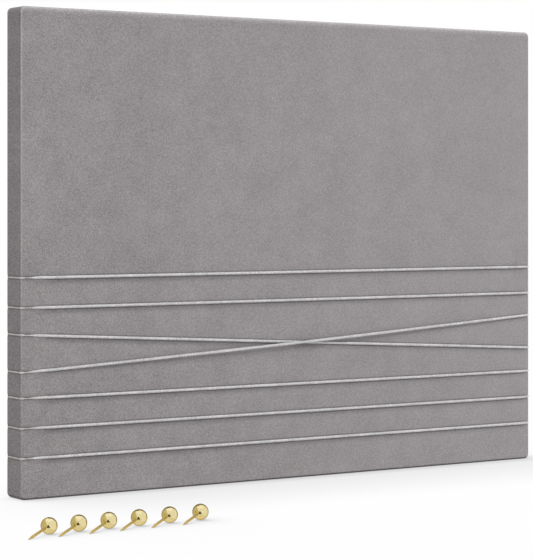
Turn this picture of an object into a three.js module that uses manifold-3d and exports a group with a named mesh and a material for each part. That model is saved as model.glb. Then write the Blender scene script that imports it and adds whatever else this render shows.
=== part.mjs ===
// Fabric pin board with elastic cords and six loose ball-head pins.
// A soft fibreboard core carries a thin foam sheet and a velvet cover that wraps the front and
// the edges and is turned onto the back. Seven elastic cords are stretched across the front and
// stapled to the back. A hardboard backing holds two ring hangers and two wall bumpers.
// Units are millimetres. X runs to the right seen from the front, Y runs to the back, Z is up.
// The origin is the middle of the bottom edge, on the surface that the board stands on.
import * as THREE from "three";
import { mergeVertices } from "three/addons/utils/BufferGeometryUtils.js";
import Module from "manifold-3d";

const wasm = await Module();
wasm.setup();

// Board, measured over the velvet
const BOARD_WIDTH = 400;
const BOARD_HEIGHT = 300;
const BOARD_THICKNESS = 19;
const CORNER_RADIUS = 3.2;
const EDGE_RADIUS = 1.6;

// Layers
const VELVET_THICKNESS = 1.4;
const FOAM_THICKNESS = 2;
const GLUE_LINE = 0.1;
const LEAST_FILLET = 0.2;
const HEM_OVERLAP = 8;
const MITRE_SLIT = 0.5;
const MITRE_STOP = 5;
const BACKING_THICKNESS = 2.5;
const BACKING_GAP = 4;
const BACKING_CORNER = 4;

// Elastic cords, numbered from the top
const CORD_RADIUS = 0.9;
const CORD_SINK = 0.45;
const CORD_CLEARANCE = 0.3;
const CORD_COUNT = 7;
const CORD_PITCH = 18.3;
const LOWEST_CORD = 25.2;
const CORD_TAIL = 21;

// The third and fourth cords swap rows and cross. Their ends splay past their rows.
const UNDER_CORD = 3;
const OVER_CORD = 4;
const UNDER_SPLAY_LEFT = 1.9;
const UNDER_SPLAY_RIGHT = 1.9;
const OVER_SPLAY_LEFT = 2.6;
const OVER_SPLAY_RIGHT = 2.7;
const CROSSING_CREST = 8;

// Staples of flat wire
const STAPLE_WIRE = 0.6;
const STAPLE_WIRE_WIDTH = 1.2;
const STAPLE_BEND = 0.9;
const STAPLE_CLEARANCE = 0.15;
const STAPLE_BITE = 5;
const CORD_STAPLE_CROWN = 7;
const CORD_STAPLE_FROM_END = 8;
const BACKING_STAPLE_CROWN = 10;
const BACKING_STAPLES_ACROSS = 3;

// Ring hangers, riveted to the backing
const HANGER_INSET = 80;
const HANGER_DROP = 50;
const RING_WIRE_RADIUS = 1;
const RING_RADIUS = 9;
const RING_CORNER = 2.2;
const RING_PLAY = 0.3;
const RING_SIDE_PLAY = 1.3;
const RING_BUTT_GAP = 0.5;
const STRAP_THICKNESS = 1;
const STRAP_END = 6;
const RIVET_RADIUS = 1.5;
const RIVET_CLEARANCE = 0.15;
const RIVET_HEAD_RADIUS = 3;
const RIVET_HEAD_HEIGHT = 1.2;
const RIVET_TAIL_RADIUS = 2.3;
const RIVET_TAIL_HEIGHT = 0.7;
const RIVET_BELOW_RING = 2.8;
const RIVET_PITCH = 9;

// Wall bumpers
const BUMPER_RADIUS = 5.5;
const BUMPER_HEIGHT = 5.2;
const BUMPER_FILLET = 1.2;
const BUMPER_INSET = 45;
const BUMPER_RISE = 42;

// Loose pins, lying in a row on the same surface in front of the board. The row starts to the
// left of the board, and its pitch grows from pin to pin as they were laid by hand. The heading
// turns each needle from the row towards the front.
const PIN_COUNT = 6;
const PIN_HEAD_RADIUS = 4.7;
const PIN_NEEDLE_RADIUS = 0.75;
const PIN_NEEDLE_LENGTH = 18;
const PIN_POINT_LENGTH = 4;
const PIN_POINT_RADIUS = 0.12;
const PIN_SOCKET_DEPTH = 5.5;
const PIN_FIT = 0.1;
const PIN_ROW_FORWARD = 128.2;
const PIN_ROW_START = -48.2;
const PIN_PITCH = 18.4;
const PIN_PITCH_GROWTH = 0.5;
const PIN_HEADING_DEGREES = 32;

// Facets
const CORNER_FACETS = 4;
const EDGE_FACETS = 3;
const CORD_SIDES = 8;
const CORD_BEND_FACETS = 3;
const RING_SIDES = 8;
const RING_ARC_FACETS = 14;
const ROUND_FACETS = 3;
const LATHE_FACETS = 12;
const HEAD_FACETS = 16;
const NEEDLE_FACETS = 10;
const MERGE_DISTANCE = 1e-4;

// Derived places, in the board's frame
const halfWidth = BOARD_WIDTH / 2;
const halfThickness = BOARD_THICKNESS / 2;
const midHeight = BOARD_HEIGHT / 2;
const foamRear = -halfThickness + VELVET_THICKNESS + GLUE_LINE + FOAM_THICKNESS;
const coreRear = halfThickness - VELVET_THICKNESS - GLUE_LINE;
const backingFront = halfThickness + GLUE_LINE;
const backingRear = backingFront + BACKING_THICKNESS;
const backingInset = CORD_TAIL + BACKING_GAP;
const hemWidth = backingInset + HEM_OVERLAP;
const cordOffset = CORD_RADIUS - CORD_SINK;
const loopInner = RING_WIRE_RADIUS + RING_PLAY;
const loopOuter = loopInner + STRAP_THICKNESS;
const strapFront = backingRear + GLUE_LINE;
const strapWidth = 2 * (RING_RADIUS - RING_CORNER - RING_SIDE_PLAY);
const ringAxisY = strapFront + loopOuter;
const ringAxisZ = BOARD_HEIGHT - HANGER_DROP;
const ringDrop = RING_CORNER + RING_RADIUS + RING_WIRE_RADIUS;
const firstRivetDrop = ringDrop + RIVET_BELOW_RING + RIVET_HEAD_RADIUS;
const strapLength = firstRivetDrop + RIVET_PITCH + STRAP_END;
const quarterTurn = Math.PI / 2;

const finishes = {
  velvet: new THREE.MeshStandardMaterial({ color: 0x96928f, roughness: 0.95 }),
  foam: new THREE.MeshStandardMaterial({ color: 0xe9e4d4, roughness: 1 }),
  fibreboard: new THREE.MeshStandardMaterial({ color: 0xa98a60, roughness: 0.95 }),
  hardboard: new THREE.MeshStandardMaterial({ color: 0x5a4331, roughness: 0.8 }),
  cord: new THREE.MeshStandardMaterial({ color: 0xcfcfcf, roughness: 0.45, metalness: 0.4 }),
  steel: new THREE.MeshStandardMaterial({ color: 0xb9bbbd, roughness: 0.35, metalness: 1 }),
  rubber: new THREE.MeshStandardMaterial({ color: 0x2b2b2b, roughness: 0.85 }),
  brass: new THREE.MeshStandardMaterial({ color: 0xd9bd62, roughness: 0.18, metalness: 1 }),
};

// A closed geometry as a solid that can be joined and cut
function toSolid(geometry) {
  const bare = geometry.index ? geometry.toNonIndexed() : geometry.clone();
  bare.deleteAttribute("normal");
  bare.deleteAttribute("uv");
  const merged = mergeVertices(bare, MERGE_DISTANCE);
  return new wasm.Manifold(
    new wasm.Mesh({
      numProp: 3,
      vertProperties: merged.attributes.position.array,
      triVerts: new Uint32Array(merged.index.array),
    }),
  );
}

// A solid as a geometry again
function toGeometry(solid) {
  const mesh = solid.getMesh();
  const geometry = new THREE.BufferGeometry();
  geometry.setAttribute("position", new THREE.BufferAttribute(mesh.vertProperties, 3));
  geometry.setIndex(new THREE.BufferAttribute(mesh.triVerts, 1));
  geometry.computeVertexNormals();
  return geometry;
}

function cut(geometry, cutters) {
  const solid = cutters.reduce((body, cutter) => body.subtract(toSolid(cutter)), toSolid(geometry));
  return toGeometry(solid);
}

function common(first, second) {
  return toGeometry(toSolid(first).intersect(toSolid(second)));
}

function node(name, geometry, finish) {
  const mesh = new THREE.Mesh(geometry, finishes[finish]);
  mesh.name = name;
  return mesh;
}

function roundedRectangle(width, height, radius) {
  const right = width / 2 - radius;
  const top = height / 2 - radius;
  const shape = new THREE.Shape();
  shape.moveTo(-right, -top - radius);
  shape.absarc(right, -top, radius, -quarterTurn, 0);
  shape.absarc(right, top, radius, 0, quarterTurn);
  shape.absarc(-right, top, radius, quarterTurn, 2 * quarterTurn);
  shape.absarc(-right, -top, radius, 2 * quarterTurn, 3 * quarterTurn);
  return shape;
}

// A plate in the board's plane, centred on the board, between two depths, with rounded edges
function plate(width, height, front, rear, cornerRadius, edgeRadius = 0) {
  const geometry = new THREE.ExtrudeGeometry(roundedRectangle(width, height, cornerRadius), {
    depth: rear - front - 2 * edgeRadius,
    curveSegments: CORNER_FACETS,
    bevelEnabled: edgeRadius > 0,
    bevelThickness: edgeRadius,
    bevelSize: edgeRadius,
    bevelOffset: -edgeRadius,
    bevelSegments: EDGE_FACETS,
  });
  return geometry.rotateX(quarterTurn).translate(0, rear - edgeRadius, midHeight);
}

// A route through given stations, with a ring of the tube at each of them
class Route extends THREE.Curve {
  constructor(stations) {
    super();
    this.stations = stations;
  }

  getPoint(share, target = new THREE.Vector3()) {
    const spans = this.stations.length - 1;
    const place = THREE.MathUtils.clamp(share, 0, 1) * spans;
    const index = Math.min(Math.floor(place), spans - 1);
    return target.lerpVectors(this.stations[index], this.stations[index + 1], place - index);
  }

  getUtoTmapping(share) {
    return share;
  }
}

function tube(stations, radius, sides) {
  const section = new THREE.Shape().absarc(0, 0, radius, 0, 2 * Math.PI);
  return new THREE.ExtrudeGeometry(section, {
    steps: stations.length - 1,
    curveSegments: sides / 2,
    extrudePath: new Route(stations),
  });
}

// The rounded rim of a turned profile, from its outer edge to its top
function rimPoints(centre, height, across, rise) {
  return new THREE.EllipseCurve(centre, height, across, rise, 0, quarterTurn).getPoints(ROUND_FACETS);
}

// Stations along an arc. The function place turns two plane coordinates into a point.
function arcStations(centreU, centreV, radius, from, to, facets, place) {
  return Array.from({ length: facets + 1 }, (_, i) => {
    const angle = from + ((to - from) * i) / facets;
    return place(centreU + radius * Math.cos(angle), centreV + radius * Math.sin(angle));
  });
}

// Cords

function cordRow(number) {
  return LOWEST_CORD + CORD_PITCH * (CORD_COUNT - number);
}

// Heights of a cord's left and right ends. The crossing cords swap rows.
function cordEnds(number) {
  if (number === UNDER_CORD) {
    return [cordRow(UNDER_CORD) + UNDER_SPLAY_LEFT, cordRow(OVER_CORD) - UNDER_SPLAY_RIGHT];
  }
  if (number === OVER_CORD) {
    return [cordRow(OVER_CORD) - OVER_SPLAY_LEFT, cordRow(UNDER_CORD) + OVER_SPLAY_RIGHT];
  }
  return [cordRow(number), cordRow(number)];
}

// Share of the board's width at which the two crossing cords meet
function crossingShare() {
  const [underLeft, underRight] = cordEnds(UNDER_CORD);
  const [overLeft, overRight] = cordEnds(OVER_CORD);
  const leftGap = underLeft - overLeft;
  return leftGap / (leftGap + overRight - underRight);
}

// A cord runs from its tail on the back round the left edge, over the front and round the right
// edge to its other tail. The upper one of the crossing pair is drawn straight over the lower one.
function cordStations(number, extraTail = 0) {
  const [left, right] = cordEnds(number);
  const bend = EDGE_RADIUS + cordOffset;
  const bendX = halfWidth - EDGE_RADIUS;
  const bendY = halfThickness - EDGE_RADIUS;
  const tailX = halfWidth - CORD_TAIL - extraTail;
  const tailY = halfThickness + cordOffset;
  const atLeft = (x, y) => new THREE.Vector3(x, y, left);
  const atRight = (x, y) => new THREE.Vector3(x, y, right);
  const turn = (x, y, from, place) =>
    arcStations(x, y, bend, from, from + quarterTurn, CORD_BEND_FACETS, place);
  const stations = [
    atLeft(-tailX, tailY),
    ...turn(-bendX, bendY, quarterTurn, atLeft),
    ...turn(-bendX, -bendY, 2 * quarterTurn, atLeft),
  ];
  if (number === OVER_CORD) {
    const lift = 2 * CORD_RADIUS + CORD_CLEARANCE;
    const crossingX = -halfWidth + BOARD_WIDTH * crossingShare();
    for (const x of [crossingX - CROSSING_CREST / 2, crossingX + CROSSING_CREST / 2]) {
      const share = (x + bendX) / (2 * bendX);
      const height = THREE.MathUtils.lerp(left, right, share);
      stations.push(new THREE.Vector3(x, -halfThickness - cordOffset - lift, height));
    }
  }
  stations.push(
    ...turn(bendX, -bendY, 3 * quarterTurn, atRight),
    ...turn(bendX, bendY, 4 * quarterTurn, atRight),
    atRight(tailX, tailY),
  );
  return stations;
}

const cordNumbers = Array.from({ length: CORD_COUNT }, (_, i) => i + 1);

function elasticCords() {
  return cordNumbers.map((number) =>
    node(`elastic_cord_${number}`, tube(cordStations(number), CORD_RADIUS, CORD_SIDES), "cord"),
  );
}

// The furrow that a taut cord presses into the pile
function cordFurrow(number) {
  const stations = cordStations(number, CORD_CLEARANCE);
  return tube(stations, CORD_RADIUS + CORD_CLEARANCE, CORD_SIDES);
}

// Staples

// Where each staple sits: the underside of its crown, and whether the crown stands upright.
// Its legs reach through the layers below and bite into the core.
function staplePlaces() {
  const places = [];
  const cordSeat = halfThickness + cordOffset + CORD_RADIUS + GLUE_LINE;
  for (const number of cordNumbers) {
    cordEnds(number).forEach((height, end) => {
      const side = end === 0 ? "left" : "right";
      const x = (halfWidth - CORD_TAIL + CORD_STAPLE_FROM_END) * (end === 0 ? -1 : 1);
      places.push({
        name: `cord_staple_${side}_${number}`,
        at: new THREE.Vector3(x, cordSeat, height),
        upright: true,
        crown: CORD_STAPLE_CROWN,
        leg: cordSeat - coreRear + STAPLE_BITE,
      });
    });
  }
  const inset = backingInset + HEM_OVERLAP / 2;
  const backingSeat = backingRear + GLUE_LINE;
  const backingStaple = (name, x, z, upright) => ({
    name: `backing_staple_${name}`,
    at: new THREE.Vector3(x, backingSeat, z),
    upright,
    crown: BACKING_STAPLE_CROWN,
    leg: backingSeat - coreRear + STAPLE_BITE,
  });
  const span = BOARD_WIDTH - 2 * inset;
  for (let i = 0; i < BACKING_STAPLES_ACROSS; i += 1) {
    const x = span * ((i + 0.5) / BACKING_STAPLES_ACROSS - 0.5);
    places.push(backingStaple(`bottom_${i + 1}`, x, inset, false));
    places.push(backingStaple(`top_${i + 1}`, x, BOARD_HEIGHT - inset, false));
  }
  places.push(backingStaple("left", inset - halfWidth, midHeight, true));
  places.push(backingStaple("right", halfWidth - inset, midHeight, true));
  return places;
}

function stapleOutline(crown, leg) {
  const outer = crown / 2;
  const inner = outer - STAPLE_WIRE;
  const shape = new THREE.Shape();
  shape.moveTo(-outer, STAPLE_WIRE - leg);
  shape.lineTo(-inner, -leg);
  shape.lineTo(-inner, 0);
  shape.lineTo(inner, 0);
  shape.lineTo(inner, -leg);
  shape.lineTo(outer, STAPLE_WIRE - leg);
  shape.absarc(outer - STAPLE_BEND, STAPLE_WIRE - STAPLE_BEND, STAPLE_BEND, 0, quarterTurn);
  shape.absarc(STAPLE_BEND - outer, STAPLE_WIRE - STAPLE_BEND, STAPLE_BEND, quarterTurn, Math.PI);
  return shape;
}

function stand(object, place) {
  object.position.copy(place.at);
  object.rotation.y = place.upright ? -quarterTurn : 0;
  return object;
}

function staples() {
  return staplePlaces().map((place) => {
    const geometry = new THREE.ExtrudeGeometry(stapleOutline(place.crown, place.leg), {
      depth: STAPLE_WIRE_WIDTH,
      curveSegments: 2,
      bevelEnabled: false,
    });
    geometry.translate(0, 0, -STAPLE_WIRE_WIDTH / 2);
    return stand(node(place.name, geometry, "steel"), place);
  });
}

// The slots that the legs of the staples punch, as cutters
function stapleSlots() {
  const slots = [];
  for (const place of staplePlaces()) {
    const reach = place.leg + STAPLE_CLEARANCE;
    for (const side of [-1, 1]) {
      const slot = new THREE.BoxGeometry(
        STAPLE_WIRE + 2 * STAPLE_CLEARANCE,
        reach,
        STAPLE_WIRE_WIDTH + 2 * STAPLE_CLEARANCE,
      );
      slot.translate((side * (place.crown - STAPLE_WIRE)) / 2, -reach / 2, 0);
      const holder = stand(new THREE.Object3D(), place);
      holder.updateMatrix();
      slots.push(slot.applyMatrix4(holder.matrix));
    }
  }
  return slots;
}

// Layers of the board

// The room inside the cover, and what fills it with a glue line all round
function filling(play) {
  const lost = 2 * (VELVET_THICKNESS + play);
  const rounding = VELVET_THICKNESS + play;
  return plate(
    BOARD_WIDTH - lost,
    BOARD_HEIGHT - lost,
    -halfThickness + rounding,
    halfThickness - rounding,
    Math.max(CORNER_RADIUS - rounding, LEAST_FILLET),
    Math.max(EDGE_RADIUS - rounding, LEAST_FILLET),
  );
}

function layerSlab(front, rear) {
  return plate(BOARD_WIDTH, BOARD_HEIGHT, front, rear, CORNER_RADIUS);
}

function foamPad() {
  return node("foam_pad", common(filling(GLUE_LINE), layerSlab(-halfThickness, foamRear)), "foam");
}

function coreBoard() {
  const blank = common(filling(GLUE_LINE), layerSlab(foamRear + GLUE_LINE, halfThickness));
  return node("core_board", cut(blank, stapleSlots()), "fibreboard");
}

// Slits in the hem where the velvet is folded to a mitre at each corner
function mitreSlits() {
  const length = (hemWidth - MITRE_STOP) * Math.SQRT2;
  const middle = (hemWidth + MITRE_STOP) / 2;
  const slits = [];
  for (const sideX of [-1, 1]) {
    for (const sideZ of [-1, 1]) {
      const slit = new THREE.BoxGeometry(length, 2 * VELVET_THICKNESS, MITRE_SLIT);
      slit.rotateY((-sideX * sideZ * Math.PI) / 4);
      const x = sideX * (halfWidth - middle);
      const z = midHeight + sideZ * (midHeight - middle);
      slits.push(slit.translate(x, halfThickness - GLUE_LINE, z));
    }
  }
  return slits;
}

function velvetCover() {
  const wrap = plate(
    BOARD_WIDTH,
    BOARD_HEIGHT,
    -halfThickness,
    halfThickness,
    CORNER_RADIUS,
    EDGE_RADIUS,
  );
  const hemOpening = plate(
    BOARD_WIDTH - 2 * hemWidth,
    BOARD_HEIGHT - 2 * hemWidth,
    0,
    BOARD_THICKNESS,
    CORNER_RADIUS,
  );
  const cutters = [
    filling(0),
    hemOpening,
    ...mitreSlits(),
    ...cordNumbers.map(cordFurrow),
    ...stapleSlots(),
  ];
  return node("velvet_cover", cut(wrap, cutters), "velvet");
}

// Hangers

const hangerSides = [
  ["left", HANGER_INSET - halfWidth],
  ["right", halfWidth - HANGER_INSET],
];

function rivetHeights() {
  return [0, 1].map((i) => ringAxisZ - firstRivetDrop - i * RIVET_PITCH);
}

function rivetHoles(x) {
  return rivetHeights().map((z) => {
    const radius = RIVET_RADIUS + RIVET_CLEARANCE;
    const hole = new THREE.CylinderGeometry(radius, radius, 2 * BOARD_THICKNESS, LATHE_FACETS);
    return hole.translate(x, backingRear, z);
  });
}

function backingBoard() {
  const panel = plate(
    BOARD_WIDTH - 2 * backingInset,
    BOARD_HEIGHT - 2 * backingInset,
    backingFront,
    backingRear,
    BACKING_CORNER,
  );
  const holes = hangerSides.flatMap(([, x]) => rivetHoles(x));
  return node("backing_board", cut(panel, [...stapleSlots(), ...holes]), "hardboard");
}

// The strap is a strip whose top end is rolled into a loop for the ring
function hangerStrap(side, x) {
  const meet = Math.PI + Math.acos((loopOuter - STRAP_THICKNESS) / loopOuter);
  const profile = new THREE.Shape();
  profile.moveTo(0, -strapLength);
  profile.absarc(loopOuter, 0, loopOuter, Math.PI, meet - 2 * Math.PI, true);
  profile.lineTo(STRAP_THICKNESS, -strapLength);
  profile.holes.push(new THREE.Path().absarc(loopOuter, 0, loopInner, 0, 2 * Math.PI));
  const rolled = new THREE.ExtrudeGeometry(profile, {
    depth: strapWidth,
    curveSegments: LATHE_FACETS / 2,
    bevelEnabled: false,
  });
  const outwards = new THREE.Vector3(0, 1, 0);
  const up = new THREE.Vector3(0, 0, 1);
  const across = new THREE.Vector3(1, 0, 0);
  rolled.applyMatrix4(new THREE.Matrix4().makeBasis(outwards, up, across));
  rolled.translate(x - strapWidth / 2, strapFront, ringAxisZ);

  const radius = strapWidth / 2;
  const plan = new THREE.Shape();
  plan.moveTo(radius, 2 * loopOuter);
  plan.lineTo(-radius, 2 * loopOuter);
  plan.absarc(0, radius - strapLength, radius, Math.PI, 2 * Math.PI);
  const outline = new THREE.ExtrudeGeometry(plan, {
    depth: 4 * loopOuter,
    curveSegments: CORNER_FACETS,
    bevelEnabled: false,
  });
  outline.rotateX(quarterTurn).translate(x, strapFront + 3 * loopOuter, ringAxisZ);
  return node(`hanger_strap_${side}`, cut(common(rolled, outline), rivetHoles(x)), "steel");
}

// A D-shaped ring of bent wire whose ends butt inside the loop of the strap
function hangerRing(side, x) {
  const place = (u, v) => new THREE.Vector3(x + u, ringAxisY, ringAxisZ + v);
  const straight = RING_RADIUS - RING_CORNER;
  const arc = (centre, radius, from, to, facets) =>
    arcStations(centre, -RING_CORNER, radius, from, to, facets, place);
  const stations = [
    place(RING_BUTT_GAP / 2, 0),
    ...arc(straight, RING_CORNER, quarterTurn, 0, CORD_BEND_FACETS),
    ...arc(0, RING_RADIUS, 0, -Math.PI, RING_ARC_FACETS).slice(1, -1),
    ...arc(-straight, RING_CORNER, Math.PI, quarterTurn, CORD_BEND_FACETS),
    place(-RING_BUTT_GAP / 2, 0),
  ];
  return node(`hanger_ring_${side}`, tube(stations, RING_WIRE_RADIUS, RING_SIDES), "steel");
}

// A rivet through strap and backing, with its tail spread in front of the backing
function rivet(name, x, z) {
  const seat = strapFront + STRAP_THICKNESS + GLUE_LINE;
  const tailRear = backingFront - GLUE_LINE;
  const profile = [
    new THREE.Vector2(0, tailRear - RIVET_TAIL_HEIGHT),
    new THREE.Vector2(RIVET_TAIL_RADIUS, tailRear - RIVET_TAIL_HEIGHT),
    new THREE.Vector2(RIVET_TAIL_RADIUS, tailRear),
    new THREE.Vector2(RIVET_RADIUS, tailRear),
    new THREE.Vector2(RIVET_RADIUS, seat),
    ...rimPoints(0, seat, RIVET_HEAD_RADIUS, RIVET_HEAD_HEIGHT),
  ];
  profile[profile.length - 1].x = 0;
  return node(name, new THREE.LatheGeometry(profile, LATHE_FACETS).translate(x, 0, z), "steel");
}

function hangers() {
  return hangerSides.flatMap(([side, x]) => [
    hangerStrap(side, x),
    hangerRing(side, x),
    ...rivetHeights().map((z, i) => rivet(`hanger_rivet_${side}_${i + 1}`, x, z)),
  ]);
}

function wallBumpers() {
  const seat = backingRear + GLUE_LINE;
  const top = seat + BUMPER_HEIGHT;
  const rim = BUMPER_RADIUS - BUMPER_FILLET;
  const profile = [
    new THREE.Vector2(0, seat),
    new THREE.Vector2(BUMPER_RADIUS, seat),
    ...rimPoints(rim, top - BUMPER_FILLET, BUMPER_FILLET, BUMPER_FILLET),
    new THREE.Vector2(0, top),
  ];
  const sides = [
    ["left", BUMPER_INSET - halfWidth],
    ["right", halfWidth - BUMPER_INSET],
  ];
  return sides.map(([side, x]) => {
    const bumper = new THREE.LatheGeometry(profile, LATHE_FACETS).translate(x, 0, BUMPER_RISE);
    return node(`wall_bumper_${side}`, bumper, "rubber");
  });
}

// Pins

function pinHead() {
  const socketRadius = PIN_NEEDLE_RADIUS + PIN_FIT;
  const socketEnd = PIN_SOCKET_DEPTH + PIN_FIT - PIN_HEAD_RADIUS;
  const mouth = Math.asin(socketRadius / PIN_HEAD_RADIUS) - quarterTurn;
  const rows = HEAD_FACETS / 2;
  const profile = [new THREE.Vector2(0, socketEnd), new THREE.Vector2(socketRadius, socketEnd)];
  for (let i = 0; i <= rows; i += 1) {
    const latitude = THREE.MathUtils.lerp(mouth, quarterTurn, i / rows);
    const radius = i === rows ? 0 : PIN_HEAD_RADIUS * Math.cos(latitude);
    profile.push(new THREE.Vector2(radius, PIN_HEAD_RADIUS * Math.sin(latitude)));
  }
  return new THREE.LatheGeometry(profile, HEAD_FACETS);
}

function pinNeedle() {
  const point = -PIN_HEAD_RADIUS - PIN_NEEDLE_LENGTH;
  const root = PIN_SOCKET_DEPTH - PIN_HEAD_RADIUS;
  const profile = [
    new THREE.Vector2(0, point),
    new THREE.Vector2(PIN_POINT_RADIUS, point),
    new THREE.Vector2(PIN_NEEDLE_RADIUS, point + PIN_POINT_LENGTH),
    new THREE.Vector2(PIN_NEEDLE_RADIUS, root),
    new THREE.Vector2(0, root),
  ];
  return new THREE.LatheGeometry(profile, NEEDLE_FACETS);
}

// Each pin lies on its head and its point, with the point towards the left and the front
function pins() {
  const reach = PIN_HEAD_RADIUS + PIN_NEEDLE_LENGTH;
  const tilt = Math.asin((PIN_HEAD_RADIUS - PIN_POINT_RADIUS) / reach);
  const heading = THREE.MathUtils.degToRad(PIN_HEADING_DEGREES);
  const direction = new THREE.Vector3(
    -Math.cos(heading) * Math.cos(tilt),
    -Math.sin(heading) * Math.cos(tilt),
    -Math.sin(tilt),
  );
  return Array.from({ length: PIN_COUNT }, (_, i) => {
    const pin = new THREE.Group();
    pin.add(node(`pin_${i + 1}_head`, pinHead(), "brass"));
    pin.add(node(`pin_${i + 1}_needle`, pinNeedle(), "brass"));
    pin.quaternion.setFromUnitVectors(new THREE.Vector3(0, -1, 0), direction);
    const growth = (PIN_PITCH_GROWTH * i * (i - 1)) / 2;
    const x = -halfWidth + PIN_ROW_START + i * PIN_PITCH + growth;
    pin.position.set(x, -halfThickness - PIN_ROW_FORWARD, PIN_HEAD_RADIUS);
    return pin;
  });
}

const pinBoard = new THREE.Group();
pinBoard.add(coreBoard(), foamPad(), velvetCover(), backingBoard());
pinBoard.add(...elasticCords(), ...staples());
pinBoard.add(...hangers(), ...wallBumpers());
pinBoard.add(...pins());

export default pinBoard;
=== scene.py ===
"""Dresses the packed pin board: velvet cover, elastic cords, fittings, gold pins and the studio."""

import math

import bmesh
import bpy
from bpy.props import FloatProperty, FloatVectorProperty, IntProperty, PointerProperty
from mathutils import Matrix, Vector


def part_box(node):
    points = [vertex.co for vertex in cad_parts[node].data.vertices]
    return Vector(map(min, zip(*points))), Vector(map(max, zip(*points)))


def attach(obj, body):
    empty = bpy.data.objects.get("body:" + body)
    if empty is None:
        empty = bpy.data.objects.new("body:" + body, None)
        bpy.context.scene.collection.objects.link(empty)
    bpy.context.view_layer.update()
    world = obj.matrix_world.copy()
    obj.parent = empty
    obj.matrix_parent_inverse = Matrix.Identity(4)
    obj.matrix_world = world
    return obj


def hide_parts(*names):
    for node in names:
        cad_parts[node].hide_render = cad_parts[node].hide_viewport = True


bl_info = {
    "name": "Pin Board",
    "version": (1, 0, 0),
    "blender": (4, 5, 0),
    "location": "View3D > Sidebar > Pin Board",
    "description": "Builds a velvet pin board with elastic cords, ring hangers and loose pins",
    "category": "Add Mesh",
}

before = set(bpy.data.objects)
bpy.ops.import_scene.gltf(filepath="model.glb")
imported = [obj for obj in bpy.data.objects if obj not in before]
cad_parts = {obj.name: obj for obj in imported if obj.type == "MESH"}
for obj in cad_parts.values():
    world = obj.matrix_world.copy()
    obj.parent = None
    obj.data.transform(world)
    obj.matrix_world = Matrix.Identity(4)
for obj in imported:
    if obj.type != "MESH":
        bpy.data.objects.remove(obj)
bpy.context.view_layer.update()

MM = 0.001
FULL_TURN = 2 * math.pi
QUARTER_TURN = math.pi / 2
ACROSS = Vector((1, 0, 0))
REARWARD = Vector((0, 1, 0))
UP = Vector((0, 0, 1))
BOTH_WAYS = (-1, 1)
WELD_DISTANCE = 1e-6
WHITE = (1.0, 1.0, 1.0, 1.0)
BLACK = (0.0, 0.0, 0.0, 1.0)
VALUE = "NodeSocketFloat"
COLOUR = "NodeSocketColor"

# Places taken from the frame
COVER_LOW, COVER_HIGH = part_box("velvet_cover")
BOARD_MIDDLE = (COVER_LOW + COVER_HIGH) / 2
HALF_WIDTH = COVER_HIGH.x
HALF_HEIGHT = BOARD_MIDDLE.z - COVER_LOW.z

# Repeated pieces
CORD_NUMBERS = range(1, 8)
UNDER_CORD = 3
OVER_CORD = 4
PIN_NUMBERS = range(1, 7)
SIDES = ("left", "right")

# Cords: about how long one is, and how its braid stands out and is divided
CORD_LENGTH = 470 * MM
BRAID_SWELL = 0.05
STEPS_PER_BRAID = 5
SIDES_PER_STRAND = 4

# Cuts that make the cover's mesh finer, in millimetres: below each cord, beside the folds of the hem,
# in from the two sides, and in from the top and the bottom. The foam is cut above and below each cord.
ROW_DROPS = (-2.4, -1.8, -1.3, -0.9, -0.45, 0, 0.45, 0.9, 1.3, 1.8, 2.4, 3.0, 3.7, 4.5, 5.4)
FOLD_OFFSETS = (-1.2, -0.6, 0, 0.6, 1.2)
SIDE_INSETS = (2.9, 3.8, 5.5, 8, 12, 18, 20, 22, 30, 60, 100, 150)
END_INSETS = (2.9, 3.8, 5.5, 12, 40, 80)
FOAM_OFFSETS = (-2, 0, 2)

# How far from a corner of the board the faces of its fold lie, in widths of the hem
FOLD_REACH = 1.2

# Pile beside a cord: depths are shares of its furrow's depth, and shades, which run from 0 to 1, are
# painted shade, with a painted shadow a little below the cord; places and widths are in half widths of the
# furrow
TAIL_FADE = 2 * MM
TUCKED_DEPTH = 0.1
NOTCH_DEPTH = 1.2
UPPER_SHADE = 0.3
LOWER_SHADE = 0.6
# Painted shadow a little below a cord, stronger on the left
CORD_SHADOW = 0.2
CORD_SHADOW_FALL = 0.1
CORD_SHADOW_PLACE = 2.5
CORD_SHADOW_WIDTH = 1.2
CLOSED_SHADE = 0.7
CLOSED_WIDTH = 1.15
# Painted shade in the folds of the hem's corners
FOLD_SHADE = 0.6

# Painted light on the rims: painted shade where the cover faces down far enough, a painted highlight on the
# front rim, and painted shade beside it and on the rear rim. A place on a rim is an angle in degrees with a
# width in degrees.
DOWN_SHADE_START = 0.12
DOWN_SHADE_SPAN = 0.42
REAR_DOWN_SHADE = 0.4
HIGHLIGHTED_RIM = (55, 16)
RIM_HIGHLIGHT = 0.1
RIM_HIGHLIGHT_UPWARDS = 0.65
TOP_RIM_HIGHLIGHT = 0.75
TOP_BAND = 3.5 * MM
TOP_BAND_HIGHLIGHT = 0.75
LOW_SIDE_HIGHLIGHT = 0.1
LOW_SIDE_SHARE = 1 / 3
FRONT_RIM_SHADE_PLACE = (20, 11)
FRONT_RIM_SHADE = 0.3
REAR_RIM_SHADE_PLACE = (-24, 13)
REAR_RIM_SHADE = 0.45

# Shade of the pile: how much of the painted highlight on the rims shows between the strokes, and how high
# the band is over which the pile grows lighter from the bottom
EVEN_HIGHLIGHT = 0.3
LOW_BAND = 80 * MM

# How much longer the grain of the uneven shades is along Y
GRAIN_DEPTH = 2.5

# Which faces of the cover count as its flat back, and which as facing backwards at all
FLAT_BACK = 0.99
BACKWARDS = 0.01

# Hangers: how far a strap is rolled round its ring, how much of half its width rounds its foot,
# and how much of the height of a rivet's head its rim takes
STRAP_ROLL = math.radians(296)
STRAP_FOOT = 0.98
RIVET_RIM = 0.25

# Points of a needle that lie this close to its end belong to its tip
TIP_DEPTH = 0.05 * MM

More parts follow.
